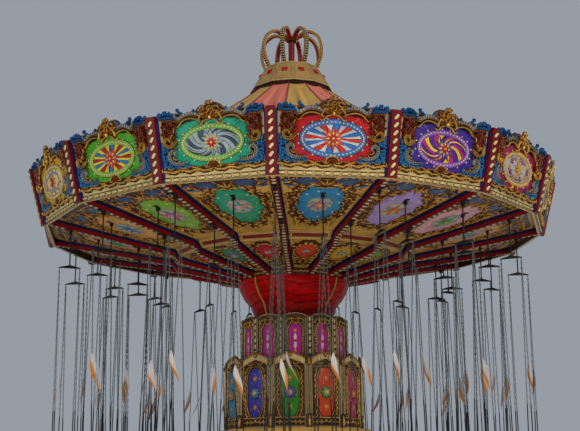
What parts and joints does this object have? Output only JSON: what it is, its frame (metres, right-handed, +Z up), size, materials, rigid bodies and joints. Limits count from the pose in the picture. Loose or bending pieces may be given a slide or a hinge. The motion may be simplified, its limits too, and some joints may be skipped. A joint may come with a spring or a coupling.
{
  "type": "chair swing ride",
  "caption": "Fairground swing ride: a decorated round canopy on a lifting, tilting tower turns rings of chairs that hang on chains.",
  "frame": {"origin": "middle of the tower's foot, at ground level", "axes": "+Z up along the tower; -Y towards the side that the picture shows; +X to the viewer's right"},
  "size_m": [12.8662, 12.8662, 11.4619],
  "materials": {
    "cream_paint": "gloss enamel on panels and plinth",
    "gilt_paint": "gold paint on carved relief",
    "red_paint": "gloss enamel on the steel beams",
    "mast_steel": "grey machine enamel",
    "roof_canvas": "coated canvas gores",
    "red_vinyl": "coated vinyl with sewn seams",
    "chair_finish": "dark enamel seat with galvanised chains"
  },
  "bodies": {
    "root": {"base_plinth": "cream_paint", "mast_sleeve": "mast_steel", "lower_drum": "gilt_paint"},
    "tower_top": {"lifting_mast": "mast_steel", "upper_drum": "gilt_paint"},
    "tilt_head": {"tilt_head": "mast_steel"},
    "canopy": {"beam_frame": "red_paint", "soffit_panels": "cream_paint", "rim_boards": "cream_paint", "roof_canvas": "roof_canvas", "tower_skirt": "red_vinyl", "crown": "cream_paint"},
    "chair_outer_01": {"chair_outer_01": "chair_finish"},
    "chair_outer_02": {"chair_outer_02": "chair_finish"},
    "chair_outer_03": {"chair_outer_03": "chair_finish"},
    "chair_outer_04": {"chair_outer_04": "chair_finish"},
    "chair_outer_05": {"chair_outer_05": "chair_finish"},
    "chair_outer_06": {"chair_outer_06": "chair_finish"},
    "chair_outer_07": {"chair_outer_07": "chair_finish"},
    "chair_outer_08": {"chair_outer_08": "chair_finish"},
    "chair_outer_09": {"chair_outer_09": "chair_finish"},
    "chair_outer_10": {"chair_outer_10": "chair_finish"},
    "chair_outer_11": {"chair_outer_11": "chair_finish"},
    "chair_outer_12": {"chair_outer_12": "chair_finish"},
    "chair_outer_13": {"chair_outer_13": "chair_finish"},
    "chair_outer_14": {"chair_outer_14": "chair_finish"},
    "chair_outer_15": {"chair_outer_15": "chair_finish"},
    "chair_outer_16": {"chair_outer_16": "chair_finish"},
    "chair_middle_01": {"chair_middle_01": "chair_finish"},
    "chair_middle_02": {"chair_middle_02": "chair_finish"},
    "chair_middle_03": {"chair_middle_03": "chair_finish"},
    "chair_middle_04": {"chair_middle_04": "chair_finish"},
    "chair_middle_05": {"chair_middle_05": "chair_finish"},
    "chair_middle_06": {"chair_middle_06": "chair_finish"},
    "chair_middle_07": {"chair_middle_07": "chair_finish"},
    "chair_middle_08": {"chair_middle_08": "chair_finish"},
    "chair_middle_09": {"chair_middle_09": "chair_finish"},
    "chair_middle_10": {"chair_middle_10": "chair_finish"},
    "chair_middle_11": {"chair_middle_11": "chair_finish"},
    "chair_middle_12": {"chair_middle_12": "chair_finish"},
    "chair_middle_13": {"chair_middle_13": "chair_finish"},
    "chair_middle_14": {"chair_middle_14": "chair_finish"},
    "chair_middle_15": {"chair_middle_15": "chair_finish"},
    "chair_middle_16": {"chair_middle_16": "chair_finish"},
    "chair_inner_01": {"chair_inner_01": "chair_finish"},
    "chair_inner_02": {"chair_inner_02": "chair_finish"},
    "chair_inner_03": {"chair_inner_03": "chair_finish"},
    "chair_inner_04": {"chair_inner_04": "chair_finish"},
    "chair_inner_05": {"chair_inner_05": "chair_finish"},
    "chair_inner_06": {"chair_inner_06": "chair_finish"},
    "chair_inner_07": {"chair_inner_07": "chair_finish"},
    "chair_inner_08": {"chair_inner_08": "chair_finish"},
    "chair_inner_09": {"chair_inner_09": "chair_finish"},
    "chair_inner_10": {"chair_inner_10": "chair_finish"},
    "chair_inner_11": {"chair_inner_11": "chair_finish"},
    "chair_inner_12": {"chair_inner_12": "chair_finish"},
    "chair_inner_13": {"chair_inner_13": "chair_finish"},
    "chair_inner_14": {"chair_inner_14": "chair_finish"},
    "chair_inner_15": {"chair_inner_15": "chair_finish"},
    "chair_inner_16": {"chair_inner_16": "chair_finish"}
  },
  "joints": [
    {"name": "tower_lift", "type": "slide", "parent": "root", "child": "tower_top", "axis": [0, 0, 1], "range_m": [0, 2.2]},
    {"name": "canopy_tilt", "type": "hinge", "parent": "tower_top", "child": "tilt_head", "pos_m": [0, 0, 5.05], "axis": [1, 0, 0], "range_deg": [0, 8]},
    {"name": "canopy_spin", "type": "hinge", "parent": "tilt_head", "child": "canopy", "pos_m": [0, 0, 5.05], "axis": [0, 0, 1], "continuous": true},
    {"name": "swing_outer_01", "type": "hinge", "parent": "canopy", "child": "chair_outer_01", "pos_m": [-0.37147, -5.40726, 5.81982], "axis": [-0.9976, 0.0685, 0], "range_deg": [-5, 40]},
    {"name": "swing_outer_02", "type": "hinge", "parent": "canopy", "child": "chair_outer_02", "pos_m": [1.72607, -5.13781, 5.81982], "axis": [-0.9479, -0.3185, 0], "range_deg": [-5, 40]},
    {"name": "swing_outer_03", "type": "hinge", "parent": "canopy", "child": "chair_outer_03", "pos_m": [3.56083, -4.08618, 5.81982], "axis": [-0.7539, -0.657, 0], "range_deg": [-5, 40]},
    {"name": "swing_outer_04", "type": "hinge", "parent": "canopy", "child": "chair_outer_04", "pos_m": [4.85349, -2.41246, 5.81982], "axis": [-0.4451, -0.8955, 0], "range_deg": [-5, 40]},
    {"name": "swing_outer_05", "type": "hinge", "parent": "canopy", "child": "chair_outer_05", "pos_m": [5.40726, -0.37147, 5.81982], "axis": [-0.0685, -0.9976, 0], "range_deg": [-5, 40]},
    {"name": "swing_outer_06", "type": "hinge", "parent": "canopy", "child": "chair_outer_06", "pos_m": [5.13781, 1.72607, 5.81982], "axis": [0.3185, -0.9479, 0], "range_deg": [-5, 40]},
    {"name": "swing_outer_07", "type": "hinge", "parent": "canopy", "child": "chair_outer_07", "pos_m": [4.08618, 3.56083, 5.81982], "axis": [0.657, -0.7539, 0], "range_deg": [-5, 40]},
    {"name": "swing_outer_08", "type": "hinge", "parent": "canopy", "child": "chair_outer_08", "pos_m": [2.41246, 4.85349, 5.81982], "axis": [0.8955, -0.4451, 0], "range_deg": [-5, 40]},
    {"name": "swing_outer_09", "type": "hinge", "parent": "canopy", "child": "chair_outer_09", "pos_m": [0.37147, 5.40726, 5.81982], "axis": [0.9976, -0.0685, 0], "range_deg": [-5, 40]},
    {"name": "swing_outer_10", "type": "hinge", "parent": "canopy", "child": "chair_outer_10", "pos_m": [-1.72607, 5.13781, 5.81982], "axis": [0.9479, 0.3185, 0], "range_deg": [-5, 40]},
    {"name": "swing_outer_11", "type": "hinge", "parent": "canopy", "child": "chair_outer_11", "pos_m": [-3.56083, 4.08618, 5.81982], "axis": [0.7539, 0.657, 0], "range_deg": [-5, 40]},
    {"name": "swing_outer_12", "type": "hinge", "parent": "canopy", "child": "chair_outer_12", "pos_m": [-4.85349, 2.41246, 5.81982], "axis": [0.4451, 0.8955, 0], "range_deg": [-5, 40]},
    {"name": "swing_outer_13", "type": "hinge", "parent": "canopy", "child": "chair_outer_13", "pos_m": [-5.40726, 0.37147, 5.81982], "axis": [0.0685, 0.9976, 0], "range_deg": [-5, 40]},
    {"name": "swing_outer_14", "type": "hinge", "parent": "canopy", "child": "chair_outer_14", "pos_m": [-5.13781, -1.72607, 5.81982], "axis": [-0.3185, 0.9479, 0], "range_deg": [-5, 40]},
    {"name": "swing_outer_15", "type": "hinge", "parent": "canopy", "child": "chair_outer_15", "pos_m": [-4.08618, -3.56083, 5.81982], "axis": [-0.657, 0.7539, 0], "range_deg": [-5, 40]},
    {"name": "swing_outer_16", "type": "hinge", "parent": "canopy", "child": "chair_outer_16", "pos_m": [-2.41246, -4.85349, 5.81982], "axis": [-0.8955, 0.4451, 0], "range_deg": [-5, 40]},
    {"name": "swing_middle_01", "type": "hinge", "parent": "canopy", "child": "chair_middle_01", "pos_m": [0.60232, -4.68886, 5.85126], "axis": [-0.9919, -0.1274, 0], "range_deg": [-5, 40]},
    {"name": "swing_middle_02", "type": "hinge", "parent": "canopy", "child": "chair_middle_02", "pos_m": [2.35082, -4.10144, 5.85126], "axis": [-0.8676, -0.4973, 0], "range_deg": [-5, 40]},
    {"name": "swing_middle_03", "type": "hinge", "parent": "canopy", "child": "chair_middle_03", "pos_m": [3.74143, -2.88962, 5.85126], "axis": [-0.6113, -0.7914, 0], "range_deg": [-5, 40]},
    {"name": "swing_middle_04", "type": "hinge", "parent": "canopy", "child": "chair_middle_04", "pos_m": [4.56244, -1.23788, 5.85126], "axis": [-0.2619, -0.9651, 0], "range_deg": [-5, 40]},
    {"name": "swing_middle_05", "type": "hinge", "parent": "canopy", "child": "chair_middle_05", "pos_m": [4.68886, 0.60232, 5.85126], "axis": [0.1274, -0.9919, 0], "range_deg": [-5, 40]},
    {"name": "swing_middle_06", "type": "hinge", "parent": "canopy", "child": "chair_middle_06", "pos_m": [4.10144, 2.35082, 5.85126], "axis": [0.4973, -0.8676, 0], "range_deg": [-5, 40]},
    {"name": "swing_middle_07", "type": "hinge", "parent": "canopy", "child": "chair_middle_07", "pos_m": [2.88962, 3.74143, 5.85126], "axis": [0.7914, -0.6113, 0], "range_deg": [-5, 40]},
    {"name": "swing_middle_08", "type": "hinge", "parent": "canopy", "child": "chair_middle_08", "pos_m": [1.23788, 4.56244, 5.85126], "axis": [0.9651, -0.2619, 0], "range_deg": [-5, 40]},
    {"name": "swing_middle_09", "type": "hinge", "parent": "canopy", "child": "chair_middle_09", "pos_m": [-0.60232, 4.68886, 5.85126], "axis": [0.9919, 0.1274, 0], "range_deg": [-5, 40]},
    {"name": "swing_middle_10", "type": "hinge", "parent": "canopy", "child": "chair_middle_10", "pos_m": [-2.35082, 4.10144, 5.85126], "axis": [0.8676, 0.4973, 0], "range_deg": [-5, 40]},
    {"name": "swing_middle_11", "type": "hinge", "parent": "canopy", "child": "chair_middle_11", "pos_m": [-3.74143, 2.88962, 5.85126], "axis": [0.6113, 0.7914, 0], "range_deg": [-5, 40]},
    {"name": "swing_middle_12", "type": "hinge", "parent": "canopy", "child": "chair_middle_12", "pos_m": [-4.56244, 1.23788, 5.85126], "axis": [0.2619, 0.9651, 0], "range_deg": [-5, 40]},
    {"name": "swing_middle_13", "type": "hinge", "parent": "canopy", "child": "chair_middle_13", "pos_m": [-4.68886, -0.60232, 5.85126], "axis": [-0.1274, 0.9919, 0], "range_deg": [-5, 40]},
    {"name": "swing_middle_14", "type": "hinge", "parent": "canopy", "child": "chair_middle_14", "pos_m": [-4.10144, -2.35082, 5.85126], "axis": [-0.4973, 0.8676, 0], "range_deg": [-5, 40]},
    {"name": "swing_middle_15", "type": "hinge", "parent": "canopy", "child": "chair_middle_15", "pos_m": [-2.88962, -3.74143, 5.85126], "axis": [-0.7914, 0.6113, 0], "range_deg": [-5, 40]},
    {"name": "swing_middle_16", "type": "hinge", "parent": "canopy", "child": "chair_middle_16", "pos_m": [-1.23788, -4.56244, 5.85126], "axis": [-0.9651, 0.2619, 0], "range_deg": [-5, 40]},
    {"name": "swing_inner_01", "type": "hinge", "parent": "canopy", "child": "chair_inner_01", "pos_m": [-0.2625, -3.82099, 5.50564], "axis": [-0.9976, 0.0685, 0], "range_deg": [-5, 40]},
    {"name": "swing_inner_02", "type": "hinge", "parent": "canopy", "child": "chair_inner_02", "pos_m": [1.21971, -3.63059, 5.50564], "axis": [-0.9479, -0.3185, 0], "range_deg": [-5, 40]},
    {"name": "swing_inner_03", "type": "hinge", "parent": "canopy", "child": "chair_inner_03", "pos_m": [2.51624, -2.88747, 5.50564], "axis": [-0.7539, -0.657, 0], "range_deg": [-5, 40]},
    {"name": "swing_inner_04", "type": "hinge", "parent": "canopy", "child": "chair_inner_04", "pos_m": [3.42968, -1.70475, 5.50564], "axis": [-0.4451, -0.8955, 0], "range_deg": [-5, 40]},
    {"name": "swing_inner_05", "type": "hinge", "parent": "canopy", "child": "chair_inner_05", "pos_m": [3.82099, -0.2625, 5.50564], "axis": [-0.0685, -0.9976, 0], "range_deg": [-5, 40]},
    {"name": "swing_inner_06", "type": "hinge", "parent": "canopy", "child": "chair_inner_06", "pos_m": [3.63059, 1.21971, 5.50564], "axis": [0.3185, -0.9479, 0], "range_deg": [-5, 40]},
    {"name": "swing_inner_07", "type": "hinge", "parent": "canopy", "child": "chair_inner_07", "pos_m": [2.88747, 2.51624, 5.50564], "axis": [0.657, -0.7539, 0], "range_deg": [-5, 40]},
    {"name": "swing_inner_08", "type": "hinge", "parent": "canopy", "child": "chair_inner_08", "pos_m": [1.70475, 3.42968, 5.50564], "axis": [0.8955, -0.4451, 0], "range_deg": [-5, 40]},
    {"name": "swing_inner_09", "type": "hinge", "parent": "canopy", "child": "chair_inner_09", "pos_m": [0.2625, 3.82099, 5.50564], "axis": [0.9976, -0.0685, 0], "range_deg": [-5, 40]},
    {"name": "swing_inner_10", "type": "hinge", "parent": "canopy", "child": "chair_inner_10", "pos_m": [-1.21971, 3.63059, 5.50564], "axis": [0.9479, 0.3185, 0], "range_deg": [-5, 40]},
    {"name": "swing_inner_11", "type": "hinge", "parent": "canopy", "child": "chair_inner_11", "pos_m": [-2.51624, 2.88747, 5.50564], "axis": [0.7539, 0.657, 0], "range_deg": [-5, 40]},
    {"name": "swing_inner_12", "type": "hinge", "parent": "canopy", "child": "chair_inner_12", "pos_m": [-3.42968, 1.70475, 5.50564], "axis": [0.4451, 0.8955, 0], "range_deg": [-5, 40]},
    {"name": "swing_inner_13", "type": "hinge", "parent": "canopy", "child": "chair_inner_13", "pos_m": [-3.82099, 0.2625, 5.50564], "axis": [0.0685, 0.9976, 0], "range_deg": [-5, 40]},
    {"name": "swing_inner_14", "type": "hinge", "parent": "canopy", "child": "chair_inner_14", "pos_m": [-3.63059, -1.21971, 5.50564], "axis": [-0.3185, 0.9479, 0], "range_deg": [-5, 40]},
    {"name": "swing_inner_15", "type": "hinge", "parent": "canopy", "child": "chair_inner_15", "pos_m": [-2.88747, -2.51624, 5.50564], "axis": [-0.657, 0.7539, 0], "range_deg": [-5, 40]},
    {"name": "swing_inner_16", "type": "hinge", "parent": "canopy", "child": "chair_inner_16", "pos_m": [-1.70475, -3.42968, 5.50564], "axis": [-0.8955, 0.4451, 0], "range_deg": [-5, 40]}
  ],
  "couplings": [
    {"joint": "canopy_tilt", "follows": "tower_lift", "rad_per_m": 0.0634},
    {"joint": "swing_outer_02", "follows": "swing_outer_01", "ratio": 1},
    {"joint": "swing_outer_03", "follows": "swing_outer_01", "ratio": 1},
    {"joint": "swing_outer_04", "follows": "swing_outer_01", "ratio": 1},
    {"joint": "swing_outer_05", "follows": "swing_outer_01", "ratio": 1},
    {"joint": "swing_outer_06", "follows": "swing_outer_01", "ratio": 1},
    {"joint": "swing_outer_07", "follows": "swing_outer_01", "ratio": 1},
    {"joint": "swing_outer_08", "follows": "swing_outer_01", "ratio": 1},
    {"joint": "swing_outer_09", "follows": "swing_outer_01", "ratio": 1},
    {"joint": "swing_outer_10", "follows": "swing_outer_01", "ratio": 1},
    {"joint": "swing_outer_11", "follows": "swing_outer_01", "ratio": 1},
    {"joint": "swing_outer_12", "follows": "swing_outer_01", "ratio": 1},
    {"joint": "swing_outer_13", "follows": "swing_outer_01", "ratio": 1},
    {"joint": "swing_outer_14", "follows": "swing_outer_01", "ratio": 1},
    {"joint": "swing_outer_15", "follows": "swing_outer_01", "ratio": 1},
    {"joint": "swing_outer_16", "follows": "swing_outer_01", "ratio": 1},
    {"joint": "swing_middle_01", "follows": "swing_outer_01", "ratio": 1},
    {"joint": "swing_middle_02", "follows": "swing_outer_01", "ratio": 1},
    {"joint": "swing_middle_03", "follows": "swing_outer_01", "ratio": 1},
    {"joint": "swing_middle_04", "follows": "swing_outer_01", "ratio": 1},
    {"joint": "swing_middle_05", "follows": "swing_outer_01", "ratio": 1},
    {"joint": "swing_middle_06", "follows": "swing_outer_01", "ratio": 1},
    {"joint": "swing_middle_07", "follows": "swing_outer_01", "ratio": 1},
    {"joint": "swing_middle_08", "follows": "swing_outer_01", "ratio": 1},
    {"joint": "swing_middle_09", "follows": "swing_outer_01", "ratio": 1},
    {"joint": "swing_middle_10", "follows": "swing_outer_01", "ratio": 1},
    {"joint": "swing_middle_11", "follows": "swing_outer_01", "ratio": 1},
    {"joint": "swing_middle_12", "follows": "swing_outer_01", "ratio": 1},
    {"joint": "swing_middle_13", "follows": "swing_outer_01", "ratio": 1},
    {"joint": "swing_middle_14", "follows": "swing_outer_01", "ratio": 1},
    {"joint": "swing_middle_15", "follows": "swing_outer_01", "ratio": 1},
    {"joint": "swing_middle_16", "follows": "swing_outer_01", "ratio": 1},
    {"joint": "swing_inner_01", "follows": "swing_outer_01", "ratio": 1},
    {"joint": "swing_inner_02", "follows": "swing_outer_01", "ratio": 1},
    {"joint": "swing_inner_03", "follows": "swing_outer_01", "ratio": 1},
    {"joint": "swing_inner_04", "follows": "swing_outer_01", "ratio": 1},
    {"joint": "swing_inner_05", "follows": "swing_outer_01", "ratio": 1},
    {"joint": "swing_inner_06", "follows": "swing_outer_01", "ratio": 1},
    {"joint": "swing_inner_07", "follows": "swing_outer_01", "ratio": 1},
    {"joint": "swing_inner_08", "follows": "swing_outer_01", "ratio": 1},
    {"joint": "swing_inner_09", "follows": "swing_outer_01", "ratio": 1},
    {"joint": "swing_inner_10", "follows": "swing_outer_01", "ratio": 1},
    {"joint": "swing_inner_11", "follows": "swing_outer_01", "ratio": 1},
    {"joint": "swing_inner_12", "follows": "swing_outer_01", "ratio": 1},
    {"joint": "swing_inner_13", "follows": "swing_outer_01", "ratio": 1},
    {"joint": "swing_inner_14", "follows": "swing_outer_01", "ratio": 1},
    {"joint": "swing_inner_15", "follows": "swing_outer_01", "ratio": 1},
    {"joint": "swing_inner_16", "follows": "swing_outer_01", "ratio": 1}
  ]
}
